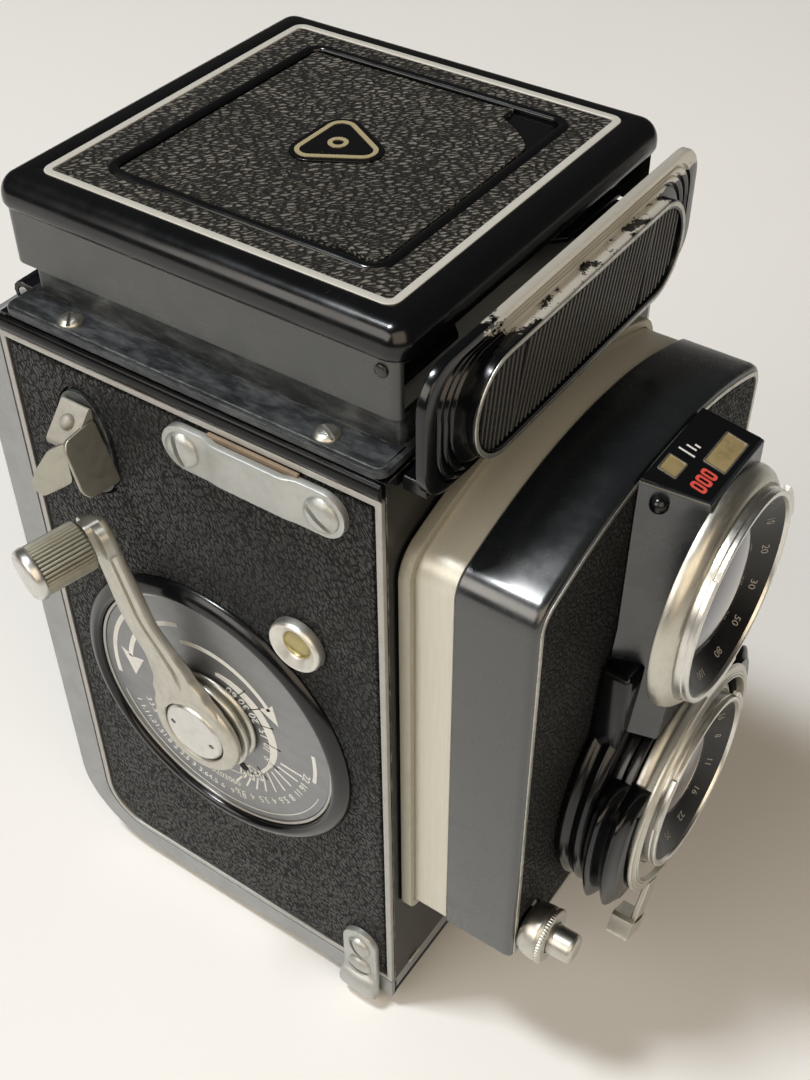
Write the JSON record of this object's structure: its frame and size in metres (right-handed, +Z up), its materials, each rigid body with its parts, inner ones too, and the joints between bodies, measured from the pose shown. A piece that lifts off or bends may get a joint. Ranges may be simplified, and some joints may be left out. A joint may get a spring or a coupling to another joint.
{
  "type": "twin-lens reflex camera",
  "caption": "Box-shaped roll-film camera with stacked viewing and taking lenses, folding waist-level hood, side winding crank and hinged back door.",
  "frame": {"origin": "mouth of the tripod socket, on the plane the camera stands on", "axes": "-Y out of the lenses, +X to the spool-knob side, +Z up through the hood"},
  "size_m": [0.102, 0.1112, 0.1475],
  "materials": {
    "satin_black_paint": "satin",
    "gloss_black_enamel": "gloss",
    "matte_black": "matte",
    "black_leatherette": "pebbled",
    "bright_trim": "satin",
    "satin_nickel": "satin",
    "cream_lacquer": "satin",
    "dial_metal": "etched satin",
    "brass": "machined",
    "steel": "brushed",
    "mirror_silver": "polished",
    "lens_glass": "polished",
    "focus_glass": "frosted"
  },
  "bodies": {
    "camera_body": {"body_shell": "satin_black_paint", "film_chamber": "matte_black", "reflex_mirror": "mirror_silver", "mirror_tray": "satin_black_paint", "ground_glass": "focus_glass", "hood_base": "satin_black_paint", "hood_screw_crank_side_front": "satin_nickel", "hood_screw_knob_side_front": "satin_nickel", "hood_screw_crank_side_rear": "satin_nickel", "hood_screw_knob_side_rear": "satin_nickel", "crank_side_leather": "black_leatherette", "crank_side_trim": "bright_trim", "crank_side_strap_lug": "satin_nickel", "crank_side_corner_catch": "satin_nickel", "knob_side_leather": "black_leatherette", "knob_side_trim": "bright_trim", "knob_side_strap_lug": "satin_nickel", "knob_side_corner_catch": "satin_nickel", "front_frame": "cream_lacquer", "nameplate": "gloss_black_enamel", "dial_ring": "gloss_black_enamel", "dial_disc": "dial_metal", "sync_socket": "satin_nickel", "key_base": "satin_black_paint", "door_hinge_pin": "steel"},
    "supply_spool": {"supply_spool": "matte_black"},
    "idler_gear": {"idler_gear": "brass"},
    "takeup": {"takeup_spool": "matte_black", "takeup_gear": "brass"},
    "upper_film_roller": {"upper_film_roller": "steel"},
    "lower_film_roller": {"lower_film_roller": "steel"},
    "crank": {"crank_hub": "satin_nickel", "crank_arm": "satin_nickel", "crank_gear": "brass"},
    "crank_knob": {"crank_knob": "satin_nickel"},
    "wing_key": {"wing_key": "satin_nickel"},
    "upper_spool_knob": {"upper_spool_knob": "satin_nickel"},
    "lower_spool_knob": {"lower_spool_knob": "satin_nickel"},
    "front_standard": {"front_panel": "gloss_black_enamel", "front_skirt": "cream_lacquer", "shutter_housing": "satin_black_paint", "viewing_lens_barrel": "satin_nickel", "viewing_lens_glass": "lens_glass", "taking_lens_barrel": "satin_nickel", "taking_lens_glass": "lens_glass"},
    "shutter_speed_lever": {"shutter_speed_lever": "gloss_black_enamel"},
    "aperture_lever": {"aperture_lever": "gloss_black_enamel"},
    "release_collar": {"release_collar": "satin_nickel"},
    "release_button": {"release_button": "satin_nickel"},
    "focus_lever": {"focus_lever": "satin_nickel"},
    "back_door": {"back_door": "satin_black_paint", "pressure_plate": "steel", "tripod_bush": "steel"},
    "latch_ring": {"latch_ring": "satin_nickel"},
    "hood_lid": {"hood_lid": "gloss_black_enamel", "sports_finder_door": "black_leatherette", "magnifier": "satin_black_paint"},
    "crank_side_flap": {"crank_side_flap": "satin_black_paint"},
    "knob_side_flap": {"knob_side_flap": "satin_black_paint"},
    "rear_flap": {"rear_flap": "satin_black_paint"}
  },
  "joints": [
    {"name": "lid_hinge", "type": "hinge", "parent": "camera_body", "child": "hood_lid", "pos_m": [0, -0.03475, 0.14125], "axis": [1, 0, 0], "range_deg": [0, 90]},
    {"name": "crank_side_flap_fold", "type": "hinge", "parent": "camera_body", "child": "crank_side_flap", "pos_m": [-0.0305, 0, 0.1349], "axis": [0, -1, 0], "range_deg": [0, 90]},
    {"name": "knob_side_flap_fold", "type": "hinge", "parent": "camera_body", "child": "knob_side_flap", "pos_m": [0.0305, 0, 0.1349], "axis": [0, 1, 0], "range_deg": [0, 90]},
    {"name": "rear_flap_fold", "type": "hinge", "parent": "camera_body", "child": "rear_flap", "pos_m": [0, 0.027, 0.1349], "axis": [-1, 0, 0], "range_deg": [0, 90]},
    {"name": "crank_turn", "type": "hinge", "parent": "camera_body", "child": "crank", "pos_m": [-0.038, -0.00275, 0.06075], "axis": [-1, 0, 0], "continuous": true},
    {"name": "crank_knob_spin", "type": "hinge", "parent": "crank", "child": "crank_knob", "pos_m": [-0.0445, 0.00943, 0.09938], "axis": [-0.9511, 0.2947, -0.0929], "continuous": true},
    {"name": "idler_spin", "type": "hinge", "parent": "camera_body", "child": "idler_gear", "pos_m": [-0.034, -0.01081, 0.03921], "axis": [-1, 0, 0], "continuous": true},
    {"name": "takeup_spin", "type": "hinge", "parent": "camera_body", "child": "takeup", "pos_m": [0, -0.0095, 0.01825], "axis": [-1, 0, 0], "continuous": true},
    {"name": "supply_spin", "type": "hinge", "parent": "camera_body", "child": "supply_spool", "pos_m": [0, 0.013, 0.094], "axis": [-1, 0, 0], "continuous": true},
    {"name": "upper_roller_spin", "type": "hinge", "parent": "camera_body", "child": "upper_film_roller", "pos_m": [0, 0.026, 0.0866], "axis": [-1, 0, 0], "continuous": true},
    {"name": "lower_roller_spin", "type": "hinge", "parent": "camera_body", "child": "lower_film_roller", "pos_m": [0, 0.026, 0.0194], "axis": [-1, 0, 0], "continuous": true},
    {"name": "wing_key_turn", "type": "hinge", "parent": "camera_body", "child": "wing_key", "pos_m": [-0.038, 0.016, 0.108], "axis": [-1, 0, 0], "range_deg": [0, 90]},
    {"name": "upper_spool_knob_pull", "type": "slide", "parent": "camera_body", "child": "upper_spool_knob", "axis": [1, 0, 0], "range_m": [0, 0.006]},
    {"name": "lower_spool_knob_pull", "type": "slide", "parent": "camera_body", "child": "lower_spool_knob", "axis": [1, 0, 0], "range_m": [0, 0.006]},
    {"name": "focus_slide", "type": "slide", "parent": "camera_body", "child": "front_standard", "axis": [0, -1, 0], "range_m": [-0.0012, 0.0049]},
    {"name": "focus_lever_swing", "type": "hinge", "parent": "front_standard", "child": "focus_lever", "pos_m": [0, -0.072, 0.053], "axis": [0, -1, 0], "range_deg": [-20, 81]},
    {"name": "shutter_speed_turn", "type": "hinge", "parent": "front_standard", "child": "shutter_speed_lever", "pos_m": [0, -0.066, 0.053], "axis": [0, -1, 0], "range_deg": [-22, 22]},
    {"name": "aperture_turn", "type": "hinge", "parent": "front_standard", "child": "aperture_lever", "pos_m": [0, -0.0675, 0.053], "axis": [0, -1, 0], "range_deg": [-22, 22]},
    {"name": "release_press", "type": "slide", "parent": "front_standard", "child": "release_button", "axis": [0, 1, 0], "range_m": [0, 0.0025], "stiffness_N_per_m": 400},
    {"name": "release_collar_turn", "type": "hinge", "parent": "front_standard", "child": "release_collar", "pos_m": [-0.0295, -0.062, 0.0365], "axis": [0, -1, 0], "range_deg": [0, 60]},
    {"name": "door_hinge", "type": "hinge", "parent": "camera_body", "child": "back_door", "pos_m": [0, 0.0335, 0.12525], "axis": [1, 0, 0], "range_deg": [0, 100]},
    {"name": "latch_turn", "type": "hinge", "parent": "back_door", "child": "latch_ring", "pos_m": [0, 0, 0.002], "axis": [0, 0, 1], "range_deg": [0, 90]}
  ],
  "couplings": [
    {"joint": "crank_side_flap_fold", "follows": "lid_hinge", "ratio": 1},
    {"joint": "knob_side_flap_fold", "follows": "lid_hinge", "ratio": 1},
    {"joint": "rear_flap_fold", "follows": "lid_hinge", "ratio": 1},
    {"joint": "idler_spin", "follows": "crank_turn", "ratio": -1.5556},
    {"joint": "takeup_spin", "follows": "crank_turn", "ratio": 1.1667},
    {"joint": "focus_lever_swing", "follows": "focus_slide", "rad_per_m": 286.12}
  ]
}
